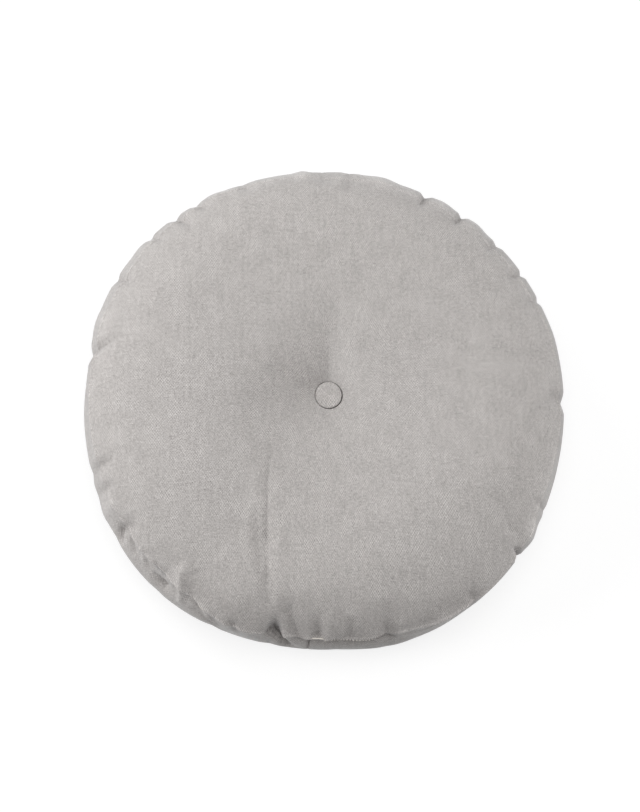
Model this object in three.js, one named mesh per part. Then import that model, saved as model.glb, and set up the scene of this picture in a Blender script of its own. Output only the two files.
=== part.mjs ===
// A round seat cushion: two discs of brushed cotton sewn to a side band, filled, and drawn down in the
// middle by a button covered in the same cloth. It lies on its back on z = 0, in millimetres, with +Z up.
import * as THREE from "three";
import { mergeVertices } from "three/addons/utils/BufferGeometryUtils.js";

// The cover as sewn and filled
const SEAM_RADIUS = 195.5; // circle on which each disc is sewn to the band
const TOP_SEAM_HEIGHT = 64;
const BASE_SEAM_HEIGHT = 11;
const CROWN_RISE = 31; // from the top seam to the flat of the crown
const CROWN_POWER = 9; // how late the crown turns down to its seam
const BAND_BULGE = 10.6; // the filling pushes the band out past its seams
const BAND_SAG = 1.25; // over 1, the widest part is below the middle
const SEAM_LIP = 1.4; // the seam stands proud of a narrow groove in the band
const LIP_HEIGHT = 2.6;
const BASE_FLAT_RADIUS = 158; // where the base meets the floor
const BASE_POWER = 2.3;

// The tuft, the button in it and the plain hollow under it
const BUTTON_RADIUS = 11.3;
const BUTTON_HEIGHT = 6.6;
const BUTTON_EDGE = 2.9; // height of the button's rounded side
const BUTTON_BACK_RADIUS = 9.2;
const BUTTON_GAP = 0.3; // air between the button's back and its seat
const SEAT_RADIUS = 10.6;
const SEAT_DEPTH = 20; // from the flat of the crown down to the button's seat
const TUFT_RIM = 13.2; // the cloth comes up beside the button here
const TUFT_DEPTH = 16.4;
const TUFT_REACH = 25; // the hollow fades by a factor of e over this length
const TUFT_REACH_EXTRA = 9; // and over this much more on its long side
const TUFT_LONG_SIDE = 165; // degrees
const BASE_TUFT_RADIUS = 30;
const BASE_TUFT_DEPTH = 7;

// Mesh density
const COLUMNS = 160;
const TOP_RINGS = 15;
const BAND_RINGS = 7;
const BASE_RINGS = 5;
const BASE_TUFT_RINGS = 3;
const RING_EASE = 0.75; // 0 spaces the top rings evenly, 1 crowds them to the tuft and the seam
const BUTTON_COLUMNS = 40;
const DOME_RINGS = 6;
const WELD = 1e-4;

// How the sewn circle and the band's bulge are uneven: waves round them, their size and the angle of a crest
const SEAM_WAVES = [
  { waves: 1, size: 3.9, crest: 238 }, // the button isn't quite in the middle
  { waves: 2, size: 0.9, crest: 147 },
  { waves: 3, size: 1.2, crest: 14 },
];
const BULGE_WAVES = [
  { waves: 1, size: 1.6, crest: 54 },
  { waves: 2, size: 1.2, crest: 69 },
  { waves: 3, size: 0.9, crest: 74 },
  { waves: 4, size: 1.8, crest: 45 }, // woven cloth gives most on its two diagonals
  { waves: 5, size: 1.0, crest: 12 },
];

// Puckers where the top seam gathers the cloth, and swellings between them where the depth is below zero.
// Angles run anticlockwise from +X, seen from above. Depth and half width are at the seam, and the valley
// fades out over one length up the disc and another down the band.
const PUCKERS = [
  { angle: 0.5, depth: 4.2, halfWidth: 14, up: 28, down: 90 },
  { angle: 17, depth: -1.0, halfWidth: 24, up: 20, down: 60 },
  { angle: 26.3, depth: 3.4, halfWidth: 8, up: 20, down: 90 },
  { angle: 34, depth: 3.8, halfWidth: 8, up: 28, down: 90 },
  { angle: 43.3, depth: 3.2, halfWidth: 9, up: 24, down: 90 },
  { angle: 50.5, depth: -2.2, halfWidth: 14, up: 16, down: 80 },
  { angle: 54.4, depth: 4.6, halfWidth: 7, up: 24, down: 90 },
  { angle: 60, depth: -2.0, halfWidth: 14, up: 16, down: 80 },
  { angle: 64.7, depth: 5.0, halfWidth: 9, up: 24, down: 90 },
  { angle: 76, depth: -2.2, halfWidth: 18, up: 16, down: 80 },
  { angle: 84.5, depth: 1.6, halfWidth: 9, up: 40, down: 60 },
  { angle: 91, depth: 2.0, halfWidth: 14, up: 20, down: 60 },
  { angle: 96, depth: -1.8, halfWidth: 10, up: 16, down: 80 },
  { angle: 111, depth: 2.0, halfWidth: 14, up: 24, down: 80 },
  { angle: 118.5, depth: -1.8, halfWidth: 13, up: 16, down: 80 },
  { angle: 123.2, depth: 2.6, halfWidth: 8, up: 18, down: 90 },
  { angle: 129.2, depth: 4.4, halfWidth: 10, up: 32, down: 90 },
  { angle: 136.6, depth: 2.8, halfWidth: 8, up: 20, down: 90 },
  { angle: 140.2, depth: -1.4, halfWidth: 12, up: 16, down: 60 },
  { angle: 149.6, depth: 3.4, halfWidth: 9, up: 28, down: 80 },
  { angle: 161, depth: -1.6, halfWidth: 16, up: 16, down: 60 },
  { angle: 168.7, depth: 5.6, halfWidth: 13, up: 40, down: 90 },
  { angle: 197.2, depth: 3.0, halfWidth: 11, up: 24, down: 60 },
  { angle: 202.7, depth: 2.2, halfWidth: 8, up: 18, down: 40 },
  { angle: 207, depth: -2.0, halfWidth: 12, up: 12, down: 70 },
  { angle: 213.6, depth: 4.6, halfWidth: 8, up: 28, down: 46 },
  { angle: 219, depth: 2.2, halfWidth: 8, up: 18, down: 30 },
  { angle: 228.4, depth: 3.7, halfWidth: 8, up: 24, down: 36 },
  { angle: 234, depth: 2.7, halfWidth: 9, up: 60, down: 40 },
  { angle: 245, depth: -1.5, halfWidth: 26, up: 10, down: 80 },
  { angle: 249.6, depth: 2.4, halfWidth: 8, up: 60, down: 30 },
  { angle: 257, depth: 5.5, halfWidth: 9, up: 64, down: 36 },
  { angle: 262.6, depth: 2.6, halfWidth: 8, up: 48, down: 30 },
  { angle: 267.4, depth: 2.8, halfWidth: 8, up: 64, down: 30 },
  { angle: 275.2, depth: 2.4, halfWidth: 8, up: 44, down: 30 },
  { angle: 283.6, depth: 3.2, halfWidth: 9, up: 32, down: 40 },
  { angle: 297, depth: -1.8, halfWidth: 26, up: 12, down: 80 },
  { angle: 306, depth: 1.7, halfWidth: 8, up: 24, down: 30 },
  { angle: 320.3, depth: 5.0, halfWidth: 9, up: 20, down: 64 },
  { angle: 325.7, depth: -3.6, halfWidth: 16, up: 14, down: 80 },
  { angle: 333.1, depth: 4.2, halfWidth: 9, up: 28, down: 60 },
];
const BASE_PUCKER_REACH = 22;
const BASE_PUCKER_SHARE = 0.7; // the base seam gathers less
const BASE_PUCKER_TURN = 6; // degrees between its valleys and those above

// Soft troughs in the top disc, measured from the button, with a depth at each end
const TROUGHS = [
  { name: "pull behind", from: [0, 13], to: [1, 76], fromDepth: 4, toDepth: 0.6, halfWidth: 11 },
  { name: "pull left", from: [-16, 4], to: [-70, 13], fromDepth: 2.6, toDepth: 1.6, halfWidth: 17 },
  { name: "pull near left", from: [-20, -6], to: [-70, -20], fromDepth: 1.6, toDepth: 1.4, halfWidth: 15 },
  { name: "long fold", from: [-51, -52], to: [-50, -165], fromDepth: 0.8, toDepth: 2, halfWidth: 8 },
];

const radians = THREE.MathUtils.degToRad;

// Height of the filled top disc at a radius, before the button draws it down
function crownHeight(radius) {
  return TOP_SEAM_HEIGHT + CROWN_RISE * (1 - (radius / SEAM_RADIUS) ** CROWN_POWER);
}

// Ring radii of the top disc, close together at the tuft and at the seam
function topRadii() {
  const radii = [];
  for (let i = 0; i < TOP_RINGS; i++) {
    const even = i / TOP_RINGS;
    const eased = THREE.MathUtils.lerp(even, THREE.MathUtils.smoothstep(even, 0, 1), RING_EASE);
    radii.push(THREE.MathUtils.lerp(TUFT_RIM, SEAM_RADIUS, eased));
  }
  return radii;
}

// The cushion's half section, from the middle of the top out over both seams to the middle of the base
function meridian() {
  const seatHeight = crownHeight(0) - SEAT_DEPTH;
  const rings = [
    { part: "seat", radius: 0, height: seatHeight },
    { part: "seat", radius: SEAT_RADIUS, height: seatHeight },
  ];
  for (const radius of topRadii()) rings.push({ part: "top", radius, height: crownHeight(radius) });
  rings.push({ part: "top", radius: SEAM_RADIUS, height: TOP_SEAM_HEIGHT });

  const bandTop = TOP_SEAM_HEIGHT - LIP_HEIGHT;
  const bandBase = BASE_SEAM_HEIGHT + LIP_HEIGHT;
  for (let i = 0; i < BAND_RINGS; i++) {
    const down = i / (BAND_RINGS - 1);
    const swell = Math.sin(Math.PI * down ** BAND_SAG);
    const height = THREE.MathUtils.lerp(bandTop, bandBase, down);
    rings.push({ part: "band", radius: SEAM_RADIUS - SEAM_LIP + BAND_BULGE * swell, height, swell });
  }

  for (let i = 0; i <= BASE_RINGS; i++) {
    const inward = i / BASE_RINGS;
    const radius = THREE.MathUtils.lerp(SEAM_RADIUS, BASE_FLAT_RADIUS, inward);
    rings.push({ part: "base", radius, height: BASE_SEAM_HEIGHT * (1 - inward) ** BASE_POWER });
  }
  for (let i = 0; i <= BASE_TUFT_RINGS; i++) {
    const inward = i / BASE_TUFT_RINGS;
    const height = BASE_TUFT_DEPTH * THREE.MathUtils.smoothstep(inward, 0, 1);
    rings.push({ part: "base tuft", radius: BASE_TUFT_RADIUS * (1 - inward), height });
  }
  return rings;
}

// Adds each ring's outward direction and its distance along the cloth from either seam
function measured(rings) {
  const point = (i) => new THREE.Vector2(rings[i].radius, rings[i].height);
  const along = [0];
  for (let i = 1; i < rings.length; i++) along.push(along[i - 1] + point(i).distanceTo(point(i - 1)));
  const topSeam = rings.findLastIndex((ring) => ring.part === "top");
  const baseSeam = rings.findIndex((ring) => ring.part === "base");
  return rings.map((ring, i) => {
    const next = point(Math.min(i + 1, rings.length - 1));
    const run = next.sub(point(Math.max(i - 1, 0))).normalize();
    return {
      ...ring,
      outward: new THREE.Vector2(-run.y, run.x),
      fromTopSeam: Math.abs(along[i] - along[topSeam]),
      fromBaseSeam: Math.abs(along[i] - along[baseSeam]),
    };
  });
}

// How far the puckers draw the cloth in at an angle and a distance from their seam
function puckerPull(angle, distance, reachOf) {
  let pull = 0;
  for (const pucker of PUCKERS) {
    const turn = THREE.MathUtils.euclideanModulo(angle - radians(pucker.angle) + Math.PI, 2 * Math.PI);
    const near = 1 - (SEAM_RADIUS * Math.abs(turn - Math.PI)) / pucker.halfWidth;
    const valley = pucker.depth > 0 ? Math.max(0, near) : THREE.MathUtils.smoothstep(near, 0, 1);
    pull += pucker.depth * valley * (1 - THREE.MathUtils.smoothstep(distance, 0, reachOf(pucker)));
  }
  return pull;
}

// How far the button draws the top disc down at a place
function tuftPull(radius, angle) {
  const longSide = (1 + Math.cos(angle - radians(TUFT_LONG_SIDE))) / 2;
  const reach = TUFT_REACH + TUFT_REACH_EXTRA * longSide;
  return TUFT_DEPTH * Math.exp((TUFT_RIM - radius) / reach);
}

// How deep the soft troughs are at a place
function troughPull(x, y) {
  let pull = 0;
  for (const trough of TROUGHS) {
    const from = new THREE.Vector3(...trough.from, 0);
    const line = new THREE.Line3(from, new THREE.Vector3(...trough.to, 0));
    const place = new THREE.Vector3(x, y, 0);
    const share = line.closestPointToPointParameter(place, true);
    const away = line.at(share, new THREE.Vector3()).distanceTo(place) / trough.halfWidth;
    pull += THREE.MathUtils.lerp(trough.fromDepth, trough.toDepth, share) * Math.exp(-away * away);
  }
  return pull;
}

// The sum of a table of waves at an angle
function waveSum(table, angle) {
  const wave = (row) => row.size * Math.cos(row.waves * (angle - radians(row.crest)));
  return table.reduce((sum, row) => sum + wave(row), 0);
}

// The filled cushion's surface at one ring and angle
function cushionPoint(ring, angle) {
  let radius = ring.radius + (waveSum(SEAM_WAVES, angle) * ring.radius) / SEAM_RADIUS;
  let height = ring.height;
  let pull = 0;
  if (ring.part === "top") {
    height -= tuftPull(ring.radius, angle) + troughPull(radius * Math.cos(angle), radius * Math.sin(angle));
    pull += puckerPull(angle, ring.fromTopSeam, (pucker) => pucker.up);
  }
  if (ring.part === "band") {
    radius += ring.swell * waveSum(BULGE_WAVES, angle);
    pull += puckerPull(angle, ring.fromTopSeam, (pucker) => pucker.down);
  }
  if (ring.part === "band" || ring.part === "base") {
    const turned = angle + radians(BASE_PUCKER_TURN);
    pull += BASE_PUCKER_SHARE * puckerPull(turned, ring.fromBaseSeam, () => BASE_PUCKER_REACH);
  }
  radius -= pull * ring.outward.x;
  height -= pull * ring.outward.y;
  return new THREE.Vector3(radius * Math.cos(angle), radius * Math.sin(angle), height);
}

// Even angles round the cushion, with the nearest one to each pucker moved onto its valley
function columnAngles() {
  const step = (2 * Math.PI) / COLUMNS;
  const angles = Array.from({ length: COLUMNS }, (_, i) => i * step);
  for (const pucker of PUCKERS.filter((row) => row.depth > 0)) {
    const valley = radians(pucker.angle);
    angles[Math.round(valley / step) % COLUMNS] = valley;
  }
  return angles;
}

function closed(geometry) {
  geometry.deleteAttribute("normal");
  geometry.deleteAttribute("uv");
  return mergeVertices(geometry, WELD);
}

function cushionGeometry() {
  const rings = measured(meridian());
  const angles = columnAngles();
  const section = rings.map((ring) => new THREE.Vector2(ring.radius, ring.height)).reverse();
  const geometry = new THREE.LatheGeometry(section, COLUMNS);
  const places = geometry.getAttribute("position");
  for (let i = 0; i < places.count; i++) {
    const column = Math.floor(i / rings.length) % COLUMNS;
    const ring = rings[rings.length - 1 - (i % rings.length)];
    const point = cushionPoint(ring, angles[column]);
    places.setXYZ(i, point.x, point.y, point.z);
  }
  return closed(geometry);
}

// A shallow dome with a rounded side and a narrower flat back, which stands on z = 0
function buttonGeometry() {
  const section = [new THREE.Vector2(0, 0), new THREE.Vector2(BUTTON_BACK_RADIUS, 0)];
  section.push(new THREE.Vector2(BUTTON_RADIUS, BUTTON_EDGE / 2));
  for (let i = 0; i <= DOME_RINGS; i++) {
    const turn = (i / DOME_RINGS) * (Math.PI / 2);
    const rise = (BUTTON_HEIGHT - BUTTON_EDGE) * Math.sin(turn);
    section.push(new THREE.Vector2(BUTTON_RADIUS * Math.cos(turn), BUTTON_EDGE + rise));
  }
  section[section.length - 1].x = 0;
  const geometry = new THREE.LatheGeometry(section, BUTTON_COLUMNS);
  geometry.rotateX(Math.PI / 2);
  return closed(geometry);
}

const coverCloth = new THREE.MeshStandardMaterial({ color: 0xb4b0ae, roughness: 0.95 });
const buttonCloth = new THREE.MeshStandardMaterial({ color: 0xb7b3b0, roughness: 0.95 });

const cushion = new THREE.Mesh(cushionGeometry(), coverCloth);
cushion.name = "cushion";

const button = new THREE.Mesh(buttonGeometry(), buttonCloth);
button.name = "button";
button.position.z = crownHeight(0) - SEAT_DEPTH + BUTTON_GAP;

// The uneven outline is centred on the origin
const part = new THREE.Group();
part.add(cushion, button);
cushion.geometry.computeBoundingBox();
const middle = cushion.geometry.boundingBox.getCenter(new THREE.Vector3());
part.position.set(-middle.x, -middle.y, 0);

export default part;
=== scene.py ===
"""Dresses the round seat cushion: a brushed cotton cover, sewn, filled and tufted with a covered button."""
import math
from collections import namedtuple

import bmesh
import bpy
import numpy as np
from mathutils import Matrix, Vector


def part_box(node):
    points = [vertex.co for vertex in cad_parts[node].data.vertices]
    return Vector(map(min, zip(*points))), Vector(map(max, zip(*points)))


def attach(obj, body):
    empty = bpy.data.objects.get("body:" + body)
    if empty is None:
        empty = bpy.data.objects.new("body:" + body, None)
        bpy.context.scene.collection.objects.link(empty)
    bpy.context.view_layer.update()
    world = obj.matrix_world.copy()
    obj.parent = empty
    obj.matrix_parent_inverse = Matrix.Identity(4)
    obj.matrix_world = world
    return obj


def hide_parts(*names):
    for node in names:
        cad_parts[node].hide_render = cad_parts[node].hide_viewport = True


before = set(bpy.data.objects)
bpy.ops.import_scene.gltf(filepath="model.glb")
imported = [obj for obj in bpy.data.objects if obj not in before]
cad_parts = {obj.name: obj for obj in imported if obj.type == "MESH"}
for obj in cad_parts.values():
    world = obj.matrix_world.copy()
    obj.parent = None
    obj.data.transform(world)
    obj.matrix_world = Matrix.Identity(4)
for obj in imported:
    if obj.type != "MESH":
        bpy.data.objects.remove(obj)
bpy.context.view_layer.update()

MM = 0.001
BUTTON_LOW, BUTTON_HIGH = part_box("button")
TUFT = np.array([(BUTTON_LOW.x + BUTTON_HIGH.x) / 2, (BUTTON_LOW.y + BUTTON_HIGH.y) / 2, 0.0])

# The cover as sewn and filled, in millimetres: the part's sizes, with a softer crown, seam lip and tuft
SEAM_RADIUS = 195.5  # circle on which each disc is sewn to the band
TOP_SEAM_HEIGHT = 64.0
BASE_SEAM_HEIGHT = 11.0
CROWN_RISE = 31.0  # from the top seam to the flat of the crown
CROWN_POWER = 8.0  # how late the crown turns down to its seam
BAND_BULGE = 9.8  # the filling pushes the band out past its seams
BAND_SAG = 1.25  # over 1, the widest part is below the middle
SEAM_LIP = 0.7  # the seam stands proud of a narrow groove in the band
LIP_HEIGHT = 2.6
BASE_FLAT_RADIUS = 158.0  # where the base meets the floor
BASE_POWER = 2.3
SEAT_RADIUS = 11.35
SEAT_DEPTH = 20.0  # from the flat of the crown down to the button's seat
TUFT_RIM = 11.55  # the cloth comes up beside the button here
TUFT_DEPTH = 12.8
TUFT_POWER = 1.6
TUFT_REACH = 58.0  # the hollow ends this far from its rim
TUFT_REACH_EXTRA = 90.0  # and this much further on its long side
TUFT_LONG_SIDE = 340.0  # degrees
BASE_TUFT_RADIUS = 30.0
BASE_TUFT_DEPTH = 7.0

# The panels in order along the cover, with the mark that each starts from, and the mark of the widest ring
PANEL_MARKS = {"seat": 0, "top": 2, "band": 4, "base": 6, "base tuft": 8}
WIDEST_MARK = PANEL_MARKS["band"] + 0.5 ** (1 / BAND_SAG)

# The covered button, in millimetres
BUTTON_EDGE = 1.4  # radius of its rounded edge
BUTTON_GAP = 0.4  # its cloth stands this far inside the solid's side
BUTTON_ASIDE = Vector((-0.5, -0.1, 0.0))
BUTTON_BACK_RADIUS = 9.2
BUTTON_DOME = 0.7
BUTTON_TUCK = 0.4  # its side draws in this much by the height where it turns under
BUTTON_TUCK_HEIGHT = 1.2
BUTTON_PLEATS = 18
BUTTON_PLEAT_DEPTH = 0.22
BUTTON_PLEAT_CROWDS = 3  # places round the button where the pleats crowd together
BUTTON_PLEAT_START = 0.5  # the pleats start this far below the shoulder
BUTTON_PLEAT_FULL = 1.0  # and are deepest this far above the back
BUTTON_FACE_RINGS = 4
BUTTON_EDGE_RINGS = 6
BUTTON_COLUMNS = 108

# Mesh density: columns round the cover, rings of each panel as pushed and as sewn, the radius past which
# the gathered cloth is finer, and the distance under which points are merged
COLUMNS = 320
PUSHED_RINGS = {"top": 40, "band": 17, "base": 8, "base tuft": 4}
SEWN_RINGS = {"top": 92, "band": 28, "base": 8, "base tuft": 4}
RING_EASE = 0.25
FINER_RADIUS = 94.0
FINER_CUTS = 2
MERGE_DISTANCE = 1e-4
LEAST_AWAY = 1e-6  # keeps a point on a crease from a division by zero

# The filling's push on the cover: how it is simulated, where the cover is held and where it has slack
PUSH_FRAMES = 18
CLOTH_RULES = {
    "quality": 6,
    "mass": 0.2,
    "tension_stiffness": 20,
    "compression_stiffness": 20,
    "shear_stiffness": 8,
    "bending_stiffness": 0.3,
    "air_damping": 4,
    "use_pressure": True,
    "uniform_pressure_force": 4.0,
}
PUSHED_PUCKER_WIDTH = 8.0
SEAM_SLACK = 0.02
SLACK_REACH = 26.0
BASE_SLACK = 0.5
HELD_RADIUS = 26.0
HELD_FADE = 30.0
BASE_HELD_FROM, BASE_HELD_TO = 4.0, 30.0
SEAM_HELD = 0.5
MOST_MOVED = 5.0
LEAST_MOVED = 1e-9  # metres, for a point that doesn't move
SMOOTH_RADIUS = 125.0  # inside this radius the top disc isn't pushed
CREASED_RADIUS = 186.0  # and outside this one it is pushed in full

# The seam itself: the disc's edge rolls up beside it, and the stitches pull it in
SEAM_ROLL = 1.2
SEAM_ROLL_AT = 1.7
SEAM_ROLL_WIDTH = 1.1
SEAM_GROOVE = 1.1
SEAM_GROOVE_WIDTH = 0.8

# Waves round the sewn circle and the band's bulge: count, size, angle of a crest
SEAM_WAVES = [(1, 3.9, 238), (2, 0.9, 147), (3, 1.2, 14)]
BULGE_WAVES = [(1, 1.6, 54), (2, 1.2, 69), (3, 0.9, 74), (4, 1.8, 45), (5, 1.0, 12)]

# Where the top seam runs further out or in and the band bulges less or more: angle, half turn, out,
# less bulge, down
SEAM_SHIFTS = [
    (93, 22, -1.2, 0.0, 0.0),
    (172, 14, 0.0, 2.0, 0.0),
    (247, 13, 6.0, 0.0, 0.0),
    (279, 6, 2.0, 0.0, 0.0),
    (286, 14, 0.0, -2.5, 0.0),
    (308, 35, 10.5, 0.5, 9.0),
]
SHIFTED_RADIUS = 110.0

# Puckers of the top seam: angle, depth, half width, length up the disc and down the band, lean on the disc
PUCKERS = [
    (0.5, 4.2, 10, 24, 90, 0.0),
    (17, -1.0, 24, 20, 60, 0.0),
    (26.3, 3.0, 5, 14, 90, 0.0),
    (34, 3.6, 5, 20, 90, 0.0),
    (43.3, 3.0, 6, 18, 90, 0.0),
    (50.5, -2.0, 14, 16, 80, 0.0),
    (54.4, 4.4, 5, 18, 90, 0.0),
    (60, -1.8, 14, 16, 80, 0.0),
    (64.7, 4.8, 6, 20, 90, 0.0),
    (76, -2.2, 18, 16, 80, 0.0),
    (84.5, 1.6, 7, 36, 60, 0.0),
    (91, 2.0, 14, 20, 60, 0.0),
    (96, -1.8, 10, 16, 80, 0.0),
    (111, 2.0, 12, 24, 80, 0.0),
    (118.5, -1.8, 13, 16, 80, 0.0),
    (123.2, 2.6, 6, 16, 90, 0.0),
    (129.2, 4.2, 7, 24, 90, 0.0),
    (136.6, 2.8, 6, 16, 90, 0.0),
    (140.2, -1.4, 12, 16, 60, 0.0),
    (149.6, 3.2, 7, 22, 80, 0.0),
    (161, -1.6, 16, 16, 60, 0.0),
    (168.7, 4.2, 9, 34, 90, -0.5),
    (197.2, 3.0, 9, 22, 60, 0.0),
    (202.7, 2.2, 7, 16, 40, 0.0),
    (207, -2.0, 12, 12, 70, 0.0),
    (213, 1.2, 10, 24, 60, 0.0),
    (228, 1.0, 9, 20, 60, 0.0),
    (243, 1.2, 9, 16, 60, 0.0),
    (257, 1.4, 9, 30, 60, 0.0),
    (272, 0.8, 10, 20, 50, 0.0),
    (284, 1.2, 9, 24, 50, 0.0),
    (297, -1.8, 26, 12, 80, 0.0),
    (306, 1.7, 7, 22, 30, 0.0),
    (321.2, 6.0, 4.5, 12, 70, 0.0),
    (326.5, -3.4, 15, 14, 80, 0.0),
    (333.6, 1.8, 5.5, 18, 64, 0.0),
]
VALLEY_POWER = 1.3
BASE_PUCKER_REACH = 22.0
BASE_PUCKER_SHARE = 0.7
BASE_PUCKER_TURN = 6.0

# Folds that cross the top seam: start and end by angle and distance from the seam, depth at each, and
# half width
FOLDS = [
    ((214.2, 6), (213.0, -8), 2.2, 2.6, 4.5),
    ((212.9, -12), (214.4, -20), 4.0, 3.0, 3.0),
    ((216.2, -5), (218.6, -12), 2.2, 1.6, 2.6),
    ((219.4, 3), (221.8, -10), -1.0, -1.0, 2.4),
    ((222.4, -7), (224.6, -13), 1.4, 1.2, 2.2),
    ((226.2, -12), (229.2, -14), 2.5, 5.0, 4.0),
    ((225.2, 2.5), (227.6, 2.5), 2.4, 2.6, 2.6),
    ((230.4, 16), (232.9, 1), -1.8, -2.4, 3.6),
    ((232.9, 1), (234.2, -16), -2.4, -2.2, 3.6),
    ((234.2, 15), (236.4, 0), 0.2, 2.0, 5.5),
    ((236.4, 0), (240.2, -13), 2.0, 1.8, 4.0),
    ((238.6, -14), (246.6, -23), 2.2, 1.2, 3.5),
    ((241.2, -8), (247.6, -26), -2.0, -0.4, 2.4),
    ((247.8, 4), (249.2, -14), 3.0, 0.6, 4.5),
    ((248.9, 26), (250.6, 16), 1.0, 1.2, 6.0),
    ((256.4, 19), (256.0, -1), 1.0, 9.0, 3.4),
    ((256.4, 19), (258.2, 1), 1.0, 9.0, 3.4),
    ((256.5, 15), (257.2, -1), 2.2, 12.5, 4.6),
    ((257.2, -1), (261.3, -24), 12.5, 4.0, 4.2),
    ((255.0, -2), (258.2, -18), -1.8, -1.6, 2.4),
    ((259.2, 4), (262.2, -16), -1.6, -1.2, 2.2),
    ((259.8, 27), (263.0, 3), 2.2, 3.2, 6.0),
    ((267.0, 26), (267.8, 5), 0.8, 3.6, 5.0),
    ((270.2, 26), (270.2, 5), -1.0, -1.2, 4.0),
    ((263.5, -5), (283.0, -5), 3.0, 3.0, 5.0),
    ((275.7, 20), (275.2, 4), 1.6, 2.0, 5.0),
    ((284.6, 22), (284.0, 2), 0.8, 1.6, 6.0),
    ((284.4, -6), (285.2, -7), 2.2, 2.2, 2.8),
    ((287.2, 12), (287.0, -6), -1.0, -1.0, 4.0),
]
FOLD_ROUNDNESS = 1.6

# Troughs and swells of the top disc, from the button: start, end, depth at each, half width on the left and
# right of the way from start to end, and roundness, 1 for a crease or 2 for a soft trough
TROUGHS = [
    ((0, 12), (-1, 60), 3.6, 0.8, 12, 36, 1),
    ((-46, -40), (-51, -70), 0.2, 1.4, 4, 3, 1.3),
    ((-51, -70), (-51, -120), 1.4, 1.8, 4, 3, 1.2),
    ((-51, -120), (-50, -168), 2.0, 2.0, 5, 5, 2),
    ((-59, -99), (-57, -136), 1.1, 1.1, 4, 4, 2),
    ((-97, 15), (-100, -60), -5.0, -5.0, 44, 44, 2),
    ((-40, -202), (70, -202), 9.0, 9.0, 24, 24, 2),
]

# Painted shade and highlight, darker above zero: a share for each millimetre that a gather draws the cloth
# in, up to a most, which paints shade in puckers and folds and a highlight on raised ones; a share for each
# millimetre of the seam's groove and roll, which paints shade in the groove and a highlight on the roll; and
# marks on the top disc and the band, laid out as the troughs are, which paint shade and highlight beside the
# button's crease, along the creases and round the rim
FOLD_PAINTED_SHADING, MOST_FOLD_PAINTED_SHADE = 0.04, 0.3
SEAM_PAINTED_SHADING = 0.09
PAINTED_SHADING_MARKS = [
    ((-1, 13), (-3, 58), 0.11, 0.03, 22, 1.5, 1.3),
    ((-13, 3), (-58, 0), 0.06, 0.05, 22, 22, 2),
    ((-12, 12), (-40, 22), 0.04, 0.05, 14, 14, 2),
    ((6, 20), (14, 70), -0.14, -0.08, 7, 24, 1.7),
    ((-64, -70), (-62, -94), -0.07, -0.07, 8, 8, 2),
    ((-108, -158), (-88, -176), 0.09, 0.09, 12, 12, 2),
    ((-76, -184), (-58, -190), 0.06, 0.06, 9, 9, 2),
    ((-14, -204), (60, -202), 0.12, 0.12, 10, 10, 2),
    ((12, -191), (56, -189), 0.06, 0.06, 8, 8, 2),
    ((-92, -188), (-68, -198), 0.08, 0.1, 7, 7, 2),
    ((80, -182), (120, -158), 0.1, 0.12, 8, 8, 2),
    ((-80, 178), (-20, 194), -0.08, -0.08, 8, 8, 2),
    ((-20, 194), (44, 191), -0.08, -0.08, 8, 8, 2),
    ((44, 191), (100, 168), -0.08, -0.08, 8, 8, 2),
    ((190, -48), (174, -102), -0.1, -0.1, 8, 8, 2),
    ((-48, -44), (-51, -80), 0.04, 0.1, 2.4, 2.0, 1.4),
    ((-51, -80), (-50.6, -150), 0.1, 0.1, 2.4, 1.8, 1.4),
    ((-53, -94), (-53, -114), 0.07, 0.07, 4, 3, 2),
    ((-59.5, -95), (-58.5, -146), 0.09, 0.08, 2.2, 3.5, 1.5),
    ((-48.5, -66), (-48.2, -140), -0.05, -0.05, 2, 2.5, 1.3),
]

# Where the band's two ends are joined, and the sewing that shows along the top seam
JOINT_ANGLE = 265.8
JOINT_DEPTH = 3.4
JOINT_HALF_WIDTH = 1.5
JOINT_FADE = 0.92
JOINT_FADE_FROM, JOINT_FADE_TO = 0.2, 0.5
JOINT_SPREAD = 6.0
JOINT_CLOSENESS = 0.35
CLOSING_FROM, CLOSING_TO, CLOSING_PITCH = 269.3, 281.3, 2.5
TACK_FROM, TACK_TO = 266.3, 269.1
LOOSE_FROM, LOOSE_TO = 238.4, 240.4
STITCHES_ABOVE = 1.0
STITCH_SHARE = 0.62  # of the pitch, the rest is under the cloth
STITCH_LIFT = 0.3
STITCH_RISE = 0.55  # how much the lift goes up for each millimetre that it goes out
STITCH_THICKNESS = 0.9
STITCH_SIDES, STITCH_RINGS = 10, 7
LOOSE_THICKNESS = 0.8
TACK_ABOVE = 3.5
TACK_THICKNESS = 0.7
TACK_ROWS = [(0.0, 0.2), (0.25, 0.7), (-0.2, 0.8)]  # turn in degrees, lift

# The cotton's patterns, in millimetres. Real threads and fibres are too fine to show in the picture, so the
# weave and the nap are drawn coarser: distance between warp ends and weft picks, how far the threads wander
# and over what length, and the sizes of the nap's grain, clumps, streaks and clouds
ENDS_PITCH = 1.06
PICKS_PITCH = 1.5
WANDER, WANDER_LENGTH = 1.2, 6.25
NAP_GRAIN = 1.25
NAP_CLUMP = 3.0303
NAP_STREAK = 3.3333, 25.0
NAP_CLOUD = 16.6667
NAP_HEIGHT = 0.4
PLY = 0.4  # the thread's ply

# How strongly each pattern shows beside the nap's grain, where the clouds let the weave show, and the range
# of shade from the dark colour to the light one
WEAVE_SHOWS, CLUMPS_SHOW, STREAKS_SHOW, CLOUDS_SHOW = 0.3, 0.5, 0.2, 0.3
WEAVE_RELIEF = 0.35
WEAVE_FROM, WEAVE_TO = 0.4, 0.65
DARKEST, LIGHTEST = 0.5, 1.5


def smooth(low, high, value):
    """An S-curve from 0 at low to 1 at high."""
    share = np.clip((np.asarray(value, float) - low) / (high - low), 0, 1)
    return share * share * (3 - 2 * share)


def crown_height(radius):
    return TOP_SEAM_HEIGHT + CROWN_RISE * (1 - (radius / SEAM_RADIUS) ** CROWN_POWER)


Section = namedtuple("Section", "part mark radius height swell along top_seam base_seam")


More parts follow.
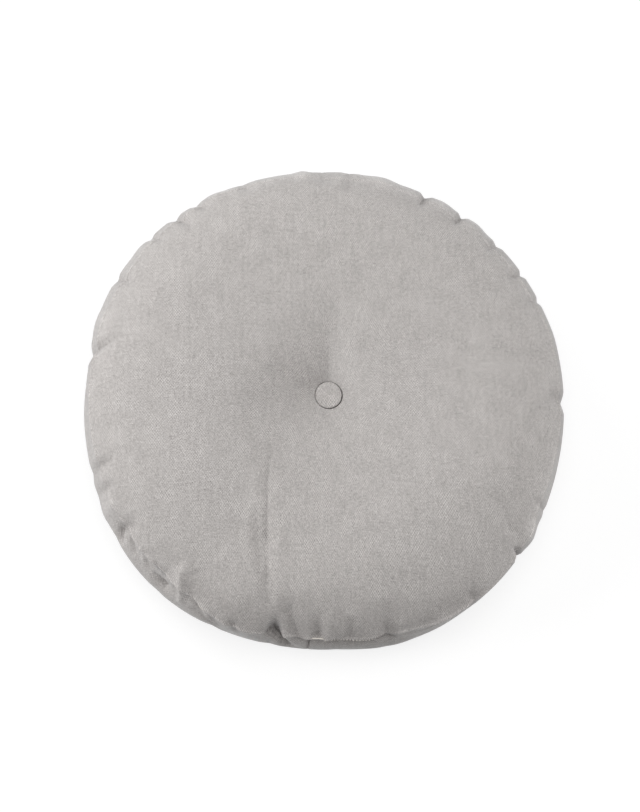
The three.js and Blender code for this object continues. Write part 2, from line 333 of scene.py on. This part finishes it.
def half_section(rings):
    """The cover's rings from the middle of the top to that of the base, each with a panel and a mark."""

    def shares(panel):
        even = np.linspace(0, 1, rings[panel] + 1)
        return RING_EASE * even + (1 - RING_EASE) * smooth(0, 1, even)

    rows = []

    def add_ring(panel, share, radius, height, swell=0.0):
        rows.append((panel, PANEL_MARKS[panel] + share, radius, height, swell))

    seat = crown_height(0.0) - SEAT_DEPTH
    for share in (0.0, 0.5, 1.0):
        add_ring("seat", share, SEAT_RADIUS * share, seat)
    for share in shares("top"):
        radius = TUFT_RIM + (SEAM_RADIUS - TUFT_RIM) * share
        add_ring("top", share, radius, crown_height(radius))
    band_top, band_base = TOP_SEAM_HEIGHT - LIP_HEIGHT, BASE_SEAM_HEIGHT + LIP_HEIGHT
    for share in shares("band"):
        swell = math.sin(math.pi * share**BAND_SAG)
        radius = SEAM_RADIUS - SEAM_LIP + BAND_BULGE * swell
        add_ring("band", share, radius, band_top + (band_base - band_top) * share, swell)
    for share in np.linspace(0, 1, rings["base"] + 1):
        radius = SEAM_RADIUS + (BASE_FLAT_RADIUS - SEAM_RADIUS) * share
        add_ring("base", share, radius, BASE_SEAM_HEIGHT * (1 - share) ** BASE_POWER)
    for share in np.linspace(0, 1, rings["base tuft"] + 1):
        height = BASE_TUFT_DEPTH * float(smooth(0, 1, share))
        add_ring("base tuft", share, BASE_TUFT_RADIUS * (1 - share), height)
    part, mark, radius, height, swell = (np.array(column) for column in zip(*rows))
    along = np.concatenate([[0], np.cumsum(np.hypot(np.diff(radius), np.diff(height)))])
    top_seam = int(np.flatnonzero(part == "top")[-1])
    base_seam = int(np.flatnonzero(part == "base")[0])
    return Section(part, mark, radius, height, swell, along, top_seam, base_seam)


def wave_sum(table, angle):
    """The sum of a table's waves at each angle."""
    return sum(size * np.cos(count * (angle - math.radians(crest))) for count, size, crest in table)


def turn_from(angle, at):
    """The turn from an angle in degrees to each angle in radians, between half turns."""
    return (angle - math.radians(at) + math.pi) % (2 * math.pi) - math.pi


def seam_shift(angle):
    """How far the top seam runs out, how much less the band bulges under it, and how far the seam drops."""
    total = np.zeros((3,) + angle.shape)
    for at, half_turn, *shift in SEAM_SHIFTS:
        share = np.clip(turn_from(angle, at) / math.radians(half_turn), -1, 1)
        total += np.outer(shift, (1 + np.cos(math.pi * share)) / 2)
    return total


def pucker_pull(angle, past, least_width, reach=None):
    """How far the puckers draw the cloth in. Past is the distance from the seam, above zero on the disc."""
    pull = np.zeros_like(angle)
    for at, depth, half_width, reach_up, reach_down, lean in PUCKERS:
        length = np.where(past > 0, reach_up, reach_down) if reach is None else reach
        leaning = np.where(past > 0, lean * past / SEAM_RADIUS, 0)
        away = SEAM_RADIUS * np.abs(turn_from(angle - leaning, at))
        near = np.clip(1 - away / max(half_width, least_width), 0, 1)
        valley = near**VALLEY_POWER if depth > 0 else smooth(0, 1, near)
        pull += depth * valley * (1 - smooth(0, 1, np.abs(past) / length))
    return pull


def tuft_pull(radius, angle):
    """How far the button's twine draws the top disc down, further out on the long side."""
    reach = TUFT_REACH + TUFT_REACH_EXTRA * (1 + np.cos(turn_from(angle, TUFT_LONG_SIDE))) / 2
    return TUFT_DEPTH * np.clip(1 - (radius - TUFT_RIM) / reach, 0, 1) ** TUFT_POWER


def crease(x, y, start, end, depth0, depth1, left, right, roundness):
    """A crease from start to end: how deep it is at each point, with a half width for each side of it."""
    run_x, run_y = end[0] - start[0], end[1] - start[1]
    x, y = x - start[0], y - start[1]
    share = np.clip((x * run_x + y * run_y) / (run_x**2 + run_y**2), 0, 1)
    off_x, off_y = x - share * run_x, y - share * run_y
    away = np.maximum(np.hypot(off_x, off_y), LEAST_AWAY)
    side = (run_x * off_y - run_y * off_x) / (math.hypot(run_x, run_y) * away)
    half_width = (left + right) / 2 + (left - right) / 2 * side
    return (depth0 + (depth1 - depth0) * share) * np.exp(-((away / half_width) ** roundness))


def creases(table, x, y):
    """The sum of a table's creases at each point."""
    return sum(crease(x, y, *row) for row in table)


def fold_pull(angle, past):
    """How far the folds draw the cloth in: the deepest and the most raised at each point."""
    deep, raised = np.zeros_like(angle), np.zeros_like(angle)
    for (angle0, past0), (angle1, past1), depth0, depth1, half_width in FOLDS:
        along = SEAM_RADIUS * turn_from(angle, angle0)
        end = SEAM_RADIUS * math.radians(angle1 - angle0), past1
        fold = crease(along, past, (0, past0), end, depth0, depth1, half_width, half_width, FOLD_ROUNDNESS)
        deep, raised = np.maximum(deep, fold), np.minimum(raised, fold)
    return deep + raised


def seam_pull(past):
    """The groove that the stitches make, and the roll of the disc's edge beside it."""
    groove = SEAM_GROOVE * np.exp(-((past / SEAM_GROOVE_WIDTH) ** 2))
    return groove - SEAM_ROLL * np.exp(-(((past - SEAM_ROLL_AT) / SEAM_ROLL_WIDTH) ** 2))


def shaped_cover(section, ring, angle, least_width=0.0):
    """Where each point of the cover lies, in millimetres from the foot of the tuft, and the shade and
    highlight painted on it.
    """
    run_r, run_z = np.gradient(section.radius), np.gradient(section.height)
    length = np.hypot(run_r, run_z)
    out_r, out_z = (-run_z / length)[ring], (run_r / length)[ring]
    part, radius = section.part[ring], section.radius[ring]
    height, swell = section.height[ring], section.swell[ring]
    from_top = section.along[section.top_seam] - section.along[ring]
    from_base = np.abs(section.along[ring] - section.along[section.base_seam])
    top, band = part == "top", part == "band"
    by_top, by_base = top | band, band | (part == "base")
    up_band = np.clip((height - BASE_SEAM_HEIGHT) / (TOP_SEAM_HEIGHT - BASE_SEAM_HEIGHT), 0, 1)
    out, less_bulge, down = seam_shift(angle)
    near_seam = np.where(top, smooth(SHIFTED_RADIUS, SEAM_RADIUS, radius), 0)
    near_seam = np.where(band & (section.mark[ring] < WIDEST_MARK), 1 - swell, near_seam)
    r = radius + wave_sum(SEAM_WAVES, angle) * radius / SEAM_RADIUS + out * near_seam
    r = r + swell * (wave_sum(BULGE_WAVES, angle) - less_bulge)
    flat = r * np.cos(angle), r * np.sin(angle)
    z = height - down * near_seam - creases(TROUGHS, *flat) * np.where(top, 1, np.where(band, up_band, 0))
    z = z - np.where(top, tuft_pull(radius, angle), 0)
    gathers = pucker_pull(angle, from_top, least_width) + fold_pull(angle, from_top)
    drawn = np.where(by_top, seam_pull(from_top), 0) + np.where(by_base, seam_pull(from_base), 0)
    turned = angle + math.radians(BASE_PUCKER_TURN)
    low = BASE_PUCKER_SHARE * pucker_pull(turned, -from_base, least_width, BASE_PUCKER_REACH)
    gathers = np.where(by_top, gathers, 0) + np.where(by_base, low, 0)
    # Painted shade and highlight: darker in puckers, folds and the seam's groove, lighter on raised folds
    # and the seam's roll, plus the marks' painted shade and highlight on the top disc and the band
    nap_and_painted_shading = np.minimum(FOLD_PAINTED_SHADING * gathers, MOST_FOLD_PAINTED_SHADE) + SEAM_PAINTED_SHADING * drawn
    nap_and_painted_shading = nap_and_painted_shading + np.where(by_top, creases(PAINTED_SHADING_MARKS, *flat), 0)
    r, z = r - (gathers + drawn) * out_r, z - (gathers + drawn) * out_z
    return np.stack([r * np.cos(angle), r * np.sin(angle), z], 1), nap_and_painted_shading


def spin_round(shape, corners, columns):
    """Spins a line of points right round the Z axis, and closes the seam and the poles."""
    line = corners + [shape.edges.new(pair) for pair in zip(corners, corners[1:])]
    whole = 2 * math.pi
    bmesh.ops.spin(
        shape, geom=line, cent=(0, 0, 0), axis=(0, 0, 1), angle=whole, steps=columns, use_merge=True
    )
    bmesh.ops.remove_doubles(shape, verts=shape.verts, dist=MERGE_DISTANCE)


def spun_cover(section, finer=False):
    """The half section spun round from the band's joint, and each point's ring and turn from the joint."""
    shape = bmesh.new()
    ring_layer = shape.verts.layers.int.new("ring")
    start = math.radians(JOINT_ANGLE)
    corners = []
    for index, radius in enumerate(section.radius):
        place = radius * math.cos(start), radius * math.sin(start), section.height[index]
        corner = shape.verts.new(place)
        corner[ring_layer] = index
        corners.append(corner)
    spin_round(shape, corners, COLUMNS)
    if finer:
        fine = (section.radius > FINER_RADIUS) & ((section.part == "top") | (section.part == "band"))
        round_edges = [e for e in shape.edges if e.verts[0][ring_layer] == e.verts[1][ring_layer]]
        gathered = [e for e in round_edges if fine[e.verts[0][ring_layer]]]
        bmesh.ops.subdivide_edges(shape, edges=gathered, cuts=FINER_CUTS, use_grid_fill=True)
    bmesh.ops.recalc_face_normals(shape, faces=shape.faces)
    place = np.array([v.co for v in shape.verts])
    ring = np.array([v[ring_layer] for v in shape.verts])
    return shape, ring, turn_from(np.arctan2(place[:, 1], place[:, 0]), JOINT_ANGLE)


def finished(name, mesh, material, slot, *nodes):
    """Makes a mesh a piece of the cushion, with its material, and hides the nodes that it stands for. The
    slot is not used.
    """
    piece = bpy.data.objects.new(name, mesh)
    bpy.context.scene.collection.objects.link(piece)
    mesh.materials.append(material)
    for face in mesh.polygons:
        face.use_smooth = True
    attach(piece, "root")
    if nodes:
        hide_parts(*nodes)
    return piece


def mesh_of(name, shape):
    mesh = bpy.data.meshes.new(name)
    shape.to_mesh(mesh)
    shape.free()
    return mesh


def put_group(piece, name, weights):
    group = piece.vertex_groups.new(name=name)
    for index in np.flatnonzero(weights > 0):
        group.add([int(index)], float(weights[index]), "REPLACE")


def places(mesh):
    flat = np.empty(len(mesh.vertices) * 3)
    mesh.vertices.foreach_get("co", flat)
    return flat.reshape(-1, 3)


def filled(piece, held, slack):
    """How the cover's points move when the filling pushes it out and its slack buckles at the seams."""
    put_group(piece, "held", held)
    put_group(piece, "slack", slack)
    cloth = piece.modifiers.new("filling", "CLOTH")
    rules = cloth.settings
    for name, value in CLOTH_RULES.items():
        setattr(rules, name, value)
    rules.effector_weights.gravity = 0
    rules.vertex_group_mass = "held"
    rules.vertex_group_shrink = "slack"
    rules.shrink_min, rules.shrink_max = 0.0, -SEAM_SLACK
    cloth.collision_settings.use_collision = False
    scene = bpy.context.scene
    for step in range(1, PUSH_FRAMES + 1):
        scene.frame_set(step)
    moved = places(piece.evaluated_get(bpy.context.evaluated_depsgraph_get()).data) - places(piece.data)
    scene.frame_set(1)
    far = np.linalg.norm(moved, axis=1, keepdims=True)
    most = MOST_MOVED * MM
    return moved * most * np.tanh(far / most) / np.maximum(far, LEAST_MOVED)


def filling_push(section):
    """The filling's push at each ring and column of a plainer cover: outwards, round and up."""
    shape, ring, turn = spun_cover(section)
    angle = turn + math.radians(JOINT_ANGLE)
    mesh = mesh_of("plain_cover", shape)
    at, _ = shaped_cover(section, ring, angle, PUSHED_PUCKER_WIDTH)
    mesh.vertices.foreach_set("co", (at * MM + TUFT).ravel())
    piece = bpy.data.objects.new("plain_cover", mesh)
    bpy.context.scene.collection.objects.link(piece)
    part, radius = section.part[ring], section.radius[ring]
    from_seam = np.abs(SEAM_RADIUS - radius)
    held = np.where(part == "top", 1 - smooth(HELD_RADIUS, HELD_RADIUS + HELD_FADE, radius), 0)
    held = np.where((part == "seat") | (part == "base tuft"), 1, held)
    held = np.where(part == "base", smooth(BASE_HELD_FROM, BASE_HELD_TO, from_seam), held)
    held = np.where((ring == section.top_seam) | (ring == section.base_seam), SEAM_HELD, held)
    slack = np.where(part == "band", 1, 1 - smooth(0, SLACK_REACH, from_seam))
    slack = np.where(part == "base", BASE_SLACK * slack, slack)
    moved = filled(piece, held, slack)
    bpy.data.objects.remove(piece)
    bpy.data.meshes.remove(mesh)
    column = np.rint((turn + math.pi) / (2 * math.pi) * COLUMNS).astype(int) % COLUMNS
    out = moved[:, 0] * np.cos(angle) + moved[:, 1] * np.sin(angle)
    aside = moved[:, 1] * np.cos(angle) - moved[:, 0] * np.sin(angle)
    push = np.zeros((len(section.mark), COLUMNS, 3))
    push[ring, column] = np.stack([out, aside, moved[:, 2]], 1)
    return push


def pushed_by(push, mark, turn, pushed_marks):
    """Reads the push between its rings and columns, at each point's mark and turn."""
    row = np.interp(mark, pushed_marks, np.arange(len(pushed_marks)))
    column = (turn + math.pi) / (2 * math.pi) * COLUMNS
    row0, column0 = np.minimum(row.astype(int), len(pushed_marks) - 2), column.astype(int)
    down, across = (row - row0)[:, None], (column - column0)[:, None]
    at = [[push[row0 + i, (column0 + j) % COLUMNS] for j in (0, 1)] for i in (0, 1)]
    upper, lower = ((1 - across) * before + across * after for before, after in at)
    out, aside, up = ((1 - down) * upper + down * lower).T
    angle = turn + math.radians(JOINT_ANGLE)
    x = out * np.cos(angle) - aside * np.sin(angle)
    y = out * np.sin(angle) + aside * np.cos(angle)
    return np.stack([x, y, up], 1)


def closer_at_joint(turn):
    """Columns stand closer together at the band's joint, so that it can be narrow."""
    spread = math.radians(JOINT_SPREAD)
    return turn * (JOINT_CLOSENESS + (1 - JOINT_CLOSENESS) * np.clip(np.abs(turn) / spread, 0, 1))


def lay_cloth(mesh, section, ring, turn):
    """Lays the weave flat on each panel as it was cut: two discs and a strip, in metres."""
    corner = np.empty(len(mesh.loops), np.int32)
    mesh.loops.foreach_get("vertex_index", corner)
    start = np.empty(len(mesh.polygons), np.int32)
    count = np.empty_like(start)
    mesh.polygons.foreach_get("loop_start", start)
    mesh.polygons.foreach_get("loop_total", count)
    rings, turns = ring[corner], turn[corner]
    lowest = np.repeat(np.minimum.reduceat(rings, start), count)
    highest = np.repeat(np.maximum.reduceat(rings, start), count)
    turns = turns + 2 * math.pi * np.rint((np.repeat(turns[start], count) - turns) / (2 * math.pi))
    along = section.along[rings]
    reach = np.where(highest <= section.top_seam, along, section.along[-1] - along)
    angle = turns + math.radians(JOINT_ANGLE)
    disc = np.stack([reach * np.cos(angle), reach * np.sin(angle)], 1)
    strip = np.stack([SEAM_RADIUS * turns, along - section.along[section.top_seam]], 1)
    on_band = (highest > section.top_seam) & (lowest < section.base_seam)
    flat = np.where(on_band[:, None], strip, disc) * MM
    mesh.uv_layers.new(name="cloth").data.foreach_set("uv", flat.ravel())


def make_cover(material):
    """The sewn cover, pushed out by its filling. Gives two lines by its top seam to be stitched along."""
    section = half_section(SEWN_RINGS)
    shape, ring, turn = spun_cover(section, finer=True)
    turn = closer_at_joint(turn)
    angle = turn + math.radians(JOINT_ANGLE)
    at, nap_and_painted_shading = shaped_cover(section, ring, angle)
    at = at * MM + TUFT
    part, radius = section.part[ring], section.radius[ring]
    plain = half_section(PUSHED_RINGS)
    moved = pushed_by(filling_push(plain), section.mark[ring], turn, plain.mark)
    share = np.where(part == "top", smooth(SMOOTH_RADIUS, CREASED_RADIUS, radius), 1)
    at += share[:, None] * moved
    near_joint = np.clip(1 - SEAM_RADIUS * np.abs(turn) / JOINT_HALF_WIDTH, 0, 1)
    down_band = section.mark[ring] - section.mark[section.top_seam + 1]
    sunk = JOINT_DEPTH * near_joint * (1 - JOINT_FADE * smooth(JOINT_FADE_FROM, JOINT_FADE_TO, down_band))
    sunk = np.where(part == "band", sunk, 0) * MM
    at -= sunk[:, None] * np.stack([np.cos(angle), np.sin(angle), np.zeros_like(angle)], 1)
    mesh = mesh_of("cushion_cover", shape)
    mesh.vertices.foreach_set("co", at.ravel())
    # The painted shade and highlight go to the material as a point attribute
    mesh.attributes.new("nap_and_painted_shading", "FLOAT", "POINT").data.foreach_set("value", nap_and_painted_shading)
    lay_cloth(mesh, section, ring, turn)
    finished("cushion_cover", mesh, material, "cover_cloth", "cushion")
    lines = []
    for above in (STITCHES_ABOVE, TACK_ABOVE):
        beside = int(np.searchsorted(section.along, section.along[section.top_seam] - above))
        line = np.flatnonzero(ring == beside)
        line = line[np.argsort(turn[line])]
        lines.append((turn[line], at[line]))
    return lines


def make_button(material):
    """A cloth-covered button: a low dome with a rounded edge, pleated where the cloth turns under."""
    radius = (BUTTON_HIGH.x - BUTTON_LOW.x) / 2 / MM - BUTTON_GAP
    low, high = BUTTON_LOW.z / MM, BUTTON_HIGH.z / MM
    face_radius = radius - BUTTON_EDGE
    shares = [step / BUTTON_FACE_RINGS for step in range(BUTTON_FACE_RINGS + 1)]
    rows = [(face_radius * share, high - BUTTON_DOME * share * share) for share in shares]
    shoulder = high - BUTTON_DOME
    for step in range(1, BUTTON_EDGE_RINGS + 1):
        bend = math.radians(90 * step / BUTTON_EDGE_RINGS)
        fall = BUTTON_EDGE * (1 - math.cos(bend))
        rows.append((face_radius + BUTTON_EDGE * math.sin(bend), shoulder - fall))
    rows.append((radius - BUTTON_TUCK, low + BUTTON_TUCK_HEIGHT))
    rows += [(BUTTON_BACK_RADIUS, low), (BUTTON_BACK_RADIUS * 0.5, low), (0, low)]
    shape = bmesh.new()
    corners = [shape.verts.new((r, 0, z)) for r, z in rows]
    spin_round(shape, corners, BUTTON_COLUMNS)
    bmesh.ops.recalc_face_normals(shape, faces=shape.faces)
    cloth = shape.loops.layers.uv.new("cloth")
    for v in shape.verts:
        out = math.hypot(v.co.x, v.co.y)
        angle = math.atan2(v.co.y, v.co.x)
        pleat = abs(math.sin(BUTTON_PLEATS / 2 * angle + math.sin(BUTTON_PLEAT_CROWDS * angle)))
        under = float(smooth(shoulder - BUTTON_PLEAT_START, low + BUTTON_PLEAT_FULL, v.co.z))
        drawn = BUTTON_PLEAT_DEPTH * pleat * under if out > face_radius else 0
        v.co.xy = v.co.xy * (1 - drawn / max(out, 1))
    for face in shape.faces:
        for loop in face.loops:
            loop[cloth].uv = (loop.vert.co.x * MM, loop.vert.co.y * MM)
    for v in shape.verts:
        v.co = (v.co + BUTTON_ASIDE) * MM + Vector(TUFT)
    finished("covered_button", mesh_of("covered_button", shape), material, "button_cloth", "button")


def on_seam(seam, angle, lift=0.0):
    """The point of the top seam at an angle in degrees, lifted off the cloth."""
    turn = math.radians(angle - JOINT_ANGLE)
    point = Vector([np.interp(turn, seam[0], seam[1][:, k]) for k in range(3)])
    bearing = math.radians(angle)
    out = Vector((math.cos(bearing), math.sin(bearing), STITCH_RISE)).normalized()
    return point + out * lift * MM


def add_stitch(shape, start, end, thickness):
    """One stitch of thread between two points, thin where it goes into the cloth."""
    ball = bmesh.ops.create_uvsphere(shape, u_segments=STITCH_SIDES, v_segments=STITCH_RINGS, radius=1)
    along = end - start
    turn = along.to_track_quat("Z", "X").to_matrix().to_4x4()
    size = Matrix.Diagonal((thickness * MM / 2, thickness * MM / 2, along.length / 2, 1))
    place = Matrix.Translation((start + end) / 2) @ turn @ size
    bmesh.ops.transform(shape, matrix=place, verts=ball["verts"])


def make_threads(seam, tacked, closing_material, tack_material):
    """The closing stitches with a loose end of thread, and the bar tack beside them."""
    shape = bmesh.new()
    step = math.degrees(CLOSING_PITCH / SEAM_RADIUS)
    count = int((CLOSING_TO - CLOSING_FROM) / step)
    for i in range(count):
        start = on_seam(seam, CLOSING_FROM + i * step, STITCH_LIFT)
        end = on_seam(seam, CLOSING_FROM + i * step + STITCH_SHARE * step, STITCH_LIFT)
        add_stitch(shape, start, end, STITCH_THICKNESS)
    start, end = on_seam(seam, LOOSE_FROM, STITCH_LIFT), on_seam(seam, LOOSE_TO, STITCH_LIFT)
    add_stitch(shape, start, end, LOOSE_THICKNESS)
    finished("closing_stitches", mesh_of("closing_stitches", shape), closing_material, "cover_cloth")
    shape = bmesh.new()
    for shift, lift in TACK_ROWS:
        start, end = on_seam(tacked, TACK_FROM + shift, lift), on_seam(tacked, TACK_TO + shift, lift)
        add_stitch(shape, start, end, TACK_THICKNESS)
    finished("bar_tack", mesh_of("bar_tack", shape), tack_material, "cover_cloth")


def colour(hexa):
    """Linear red, green, blue and alpha of an sRGB hex value."""
    parts = [int(hexa[i:i + 2], 16) / 255 for i in (1, 3, 5)]
    return tuple(c / 12.92 if c <= 0.04045 else ((c + 0.055) / 1.055) ** 2.4 for c in parts) + (1.0,)


def add(tree, kind, inputs=None, **settings):
    """Adds a node, sets it up, and links or fills its inputs."""
    node = tree.nodes.new(kind)
    for name, value in settings.items():
        setattr(node, name, value)
    for name, value in (inputs or {}).items():
        if isinstance(value, bpy.types.NodeSocket):
            tree.links.new(value, node.inputs[name])
        else:
            node.inputs[name].default_value = value
    return node


def per_metre(size):
    """The scale of a pattern whose features are this many millimetres in size."""
    return 1 / (size * MM)


def brushed_cotton(name, dark, light):
    """Brushed cotton: a fine plain weave under a short nap, which looks dry, soft and slightly streaky, with
    the shade and highlight painted by the mesh's attribute.
    """
    made = bpy.data.materials.new(name)
    made.use_nodes = True
    tree = made.node_tree
    shader = tree.nodes["Principled BSDF"]
    flat = add(tree, "ShaderNodeUVMap", uv_map="cloth").outputs["UV"]
    length = per_metre(WANDER_LENGTH)
    wander = add(tree, "ShaderNodeTexNoise", {"Vector": flat, "Scale": length, "Detail": 2.0})
    shift = add(
        tree,
        "ShaderNodeVectorMath",
        {0: wander.outputs["Color"], 1: (WANDER * MM,) * 3, 2: flat},
        operation="MULTIPLY_ADD",
    )
    thread = add(tree, "ShaderNodeSeparateXYZ", {0: shift.outputs[0]})
    end_turn, pick_turn = math.pi * per_metre(ENDS_PITCH), math.pi * per_metre(PICKS_PITCH)
    ends = add(tree, "ShaderNodeMath", {0: thread.outputs["X"], 1: end_turn}, operation="MULTIPLY")
    picks = add(tree, "ShaderNodeMath", {0: thread.outputs["Y"], 1: pick_turn}, operation="MULTIPLY")
    end_wave = add(tree, "ShaderNodeMath", {0: ends.outputs[0]}, operation="SINE")
    pick_wave = add(tree, "ShaderNodeMath", {0: picks.outputs[0]}, operation="SINE")
    waves = {0: end_wave.outputs[0], 1: pick_wave.outputs[0]}
    weave = add(tree, "ShaderNodeMath", waves, operation="MULTIPLY")
    fine = {"Vector": flat, "Scale": per_metre(NAP_GRAIN), "Detail": 2.0, "Roughness": 0.6}
    nap_and_painted_shading = add(tree, "ShaderNodeTexNoise", fine)
    clumps = add(tree, "ShaderNodeTexNoise", {**fine, "Scale": per_metre(NAP_CLUMP)})
    brushed = tuple(per_metre(size) for size in NAP_STREAK) + (1.0,)
    drawn = add(tree, "ShaderNodeMapping", {"Vector": flat, "Scale": brushed})
    streaks = add(tree, "ShaderNodeTexNoise", {"Vector": drawn.outputs[0], "Scale": 1.0, "Detail": 3.0})
    clouds = add(tree, "ShaderNodeTexNoise", {**fine, "Scale": per_metre(NAP_CLOUD), "Detail": 4.0})
    worn = {"Value": clouds.outputs["Fac"], "From Min": WEAVE_FROM, "From Max": WEAVE_TO}
    plain = add(tree, "ShaderNodeMapRange", worn)
    seen = add(tree, "ShaderNodeMath", {0: weave.outputs[0], 1: plain.outputs[0]}, operation="MULTIPLY")
    shade = nap_and_painted_shading.outputs["Fac"]
    patterns = [
        (seen.outputs[0], WEAVE_SHOWS),
        (clumps.outputs["Fac"], CLUMPS_SHOW),
        (streaks.outputs["Fac"], STREAKS_SHOW),
        (clouds.outputs["Fac"], CLOUDS_SHOW),
    ]
    for source, weight in patterns:
        mixed = add(tree, "ShaderNodeMath", {0: source, 1: weight, 2: shade}, operation="MULTIPLY_ADD")
        shade = mixed.outputs[0]
    # Painted shade and highlight from the cover's point attribute, taken off the tone: darker where it is
    # above zero, lighter below; the button has none, so nothing is painted on it
    painted_shading_attribute = add(tree, "ShaderNodeAttribute", attribute_name="nap_and_painted_shading")
    tone_with_painted_shading = add(tree, "ShaderNodeMath", {0: shade, 1: painted_shading_attribute.outputs["Fac"]}, operation="SUBTRACT")
    tone = {"Value": tone_with_painted_shading.outputs[0], "From Min": DARKEST, "From Max": LIGHTEST}
    spread = add(tree, "ShaderNodeMapRange", tone)
    tones = {"Factor": spread.outputs[0], "A": colour(dark), "B": colour(light)}
    tint = add(tree, "ShaderNodeMix", tones, data_type="RGBA")
    tree.links.new(tint.outputs["Result"], shader.inputs["Base Color"])
    heights = {0: weave.outputs[0], 1: WEAVE_RELIEF, 2: nap_and_painted_shading.outputs["Fac"]}
    relief = add(tree, "ShaderNodeMath", heights, operation="MULTIPLY_ADD")
    raised = {"Height": relief.outputs[0], "Strength": 0.35, "Distance": NAP_HEIGHT * MM}
    bump = add(tree, "ShaderNodeBump", raised)
    tree.links.new(bump.outputs[0], shader.inputs["Normal"])
    shader.inputs["Roughness"].default_value = 0.95
    shader.inputs["Specular IOR Level"].default_value = 0.2
    shader.inputs["Sheen Weight"].default_value = 0.6
    shader.inputs["Sheen Roughness"].default_value = 0.4
    return made


def sewing_thread(name, dark, light):
    """Spun polyester thread: a thin, slightly shiny line with its ply showing as fine turns of tone."""
    made = bpy.data.materials.new(name)
    made.use_nodes = True
    tree = made.node_tree
    shader = tree.nodes["Principled BSDF"]
    place = add(tree, "ShaderNodeTexCoord").outputs["Object"]
    ply = add(tree, "ShaderNodeTexNoise", {"Vector": place, "Scale": per_metre(PLY), "Detail": 1.0})
    tones = {"Factor": ply.outputs["Fac"], "A": colour(dark), "B": colour(light)}
    tint = add(tree, "ShaderNodeMix", tones, data_type="RGBA")
    tree.links.new(tint.outputs["Result"], shader.inputs["Base Color"])
    shader.inputs["Roughness"].default_value = 0.6
    return made


# The studio, in metres: a white floor that keeps a faint shadow, a soft room, and soft boxes by place, size
# and watts, which all point at the middle of the cushion
MIDDLE = Vector((0, 0, 0.05))
FLOOR_HALF_SIZE = 6
FLOOR_DROP = 0.0005
FLOOR_TONE = 0.33
FLOOR_GLOW = 0.74
ROOM_LIGHT = 0.22
SOFT_BOXES = [
    ("left", (-2.47, 0.0, 0.85), 1.6, 36.0),
    ("upper_left", (-1.75, 1.75, 0.85), 1.6, 22.5),
    ("right", (2.43, 0.0, 1.0), 1.6, 18.0),
    ("upper_right", (1.54, 1.54, 1.45), 2.2, 12.0),
    ("lower_right", (1.5, -1.5, 1.54), 2.2, 7.4),
    ("lower_left", (-2.1, -1.5, 0.25), 0.8, 4.0),
    ("overhead", (-0.12, 0.32, 2.62), 1.6, 20.4),
]

# The camera: degrees round and above the cushion, metres away, and the picture's own scale, height and shift
CAMERA_AZIMUTH = -17
CAMERA_ELEVATION = 80
CAMERA_DISTANCE = 1.6
SENSOR_WIDTH = 36.0
PIXELS_PER_METRE = 1200
PICTURE_HEIGHT = 812
SHIFT_RIGHT, SHIFT_UP = 5.97, 2.72  # pixels from the picture's middle to the cushion's


def studio():
    scene = bpy.context.scene
    scene.view_settings.view_transform = "Standard"
    scene.view_settings.look = "None"
    shape = bmesh.new()
    bmesh.ops.create_grid(shape, x_segments=1, y_segments=1, size=FLOOR_HALF_SIZE)
    bmesh.ops.translate(shape, verts=shape.verts, vec=(0, 0, -FLOOR_DROP))
    floor = bpy.data.objects.new("floor", mesh_of("floor", shape))
    scene.collection.objects.link(floor)
    pale = bpy.data.materials.new("white_sweep")
    pale.use_nodes = True
    shader = pale.node_tree.nodes["Principled BSDF"]
    shader.inputs["Base Color"].default_value = (FLOOR_TONE,) * 3 + (1.0,)
    shader.inputs["Roughness"].default_value = 1.0
    shader.inputs["Specular IOR Level"].default_value = 0.0
    shader.inputs["Emission Color"].default_value = (1, 1, 1, 1)
    shader.inputs["Emission Strength"].default_value = FLOOR_GLOW
    floor.data.materials.append(pale)
    floor.visible_diffuse = False
    world = bpy.data.worlds.new("soft_room")
    world.use_nodes = True
    room = world.node_tree.nodes["Background"]
    room.inputs["Color"].default_value = (1, 1, 1, 1)
    room.inputs["Strength"].default_value = ROOM_LIGHT
    scene.world = world
    for name, place, size, power in SOFT_BOXES:
        data = bpy.data.lights.new(name, "AREA")
        data.shape = "DISK"
        data.size = size
        data.energy = power
        light = bpy.data.objects.new(name, data)
        scene.collection.objects.link(light)
        light.location = place
        light.rotation_euler = (MIDDLE - Vector(place)).to_track_quat("-Z", "Y").to_euler()


def photo_camera():
    """Looks down at the cushion from the photo's angle, with +Y up the picture."""
    azimuth, elevation = math.radians(CAMERA_AZIMUTH), math.radians(CAMERA_ELEVATION)
    level = math.cos(elevation)
    back = Vector((math.sin(azimuth) * level, -math.cos(azimuth) * level, math.sin(elevation)))
    right = Vector((0, 1, 0)).cross(back).normalized()
    up = back.cross(right)
    aim = MIDDLE - right * SHIFT_RIGHT / PIXELS_PER_METRE - up * SHIFT_UP / PIXELS_PER_METRE
    data = bpy.data.cameras.new("photo_camera")
    data.sensor_width = SENSOR_WIDTH
    data.lens = PIXELS_PER_METRE * CAMERA_DISTANCE / PICTURE_HEIGHT * SENSOR_WIDTH
    camera = bpy.data.objects.new("photo_camera", data)
    bpy.context.scene.collection.objects.link(camera)
    turn = Matrix((right, up, back)).transposed().to_4x4()
    camera.matrix_world = Matrix.Translation(aim + back * CAMERA_DISTANCE) @ turn
    bpy.context.scene.camera = camera


seam_lines = make_cover(brushed_cotton("brushed_cotton", "#807B79", "#E0DCD9"))
make_button(brushed_cotton("button_cotton", "#84807D", "#E2DDDA"))
grey_thread = sewing_thread("grey_thread", "#BDB8B2", "#E4DFD8")
pale_thread = sewing_thread("pale_thread", "#D6D0C6", "#F2EEE6")
make_threads(*seam_lines, grey_thread, pale_thread)
studio()
photo_camera()
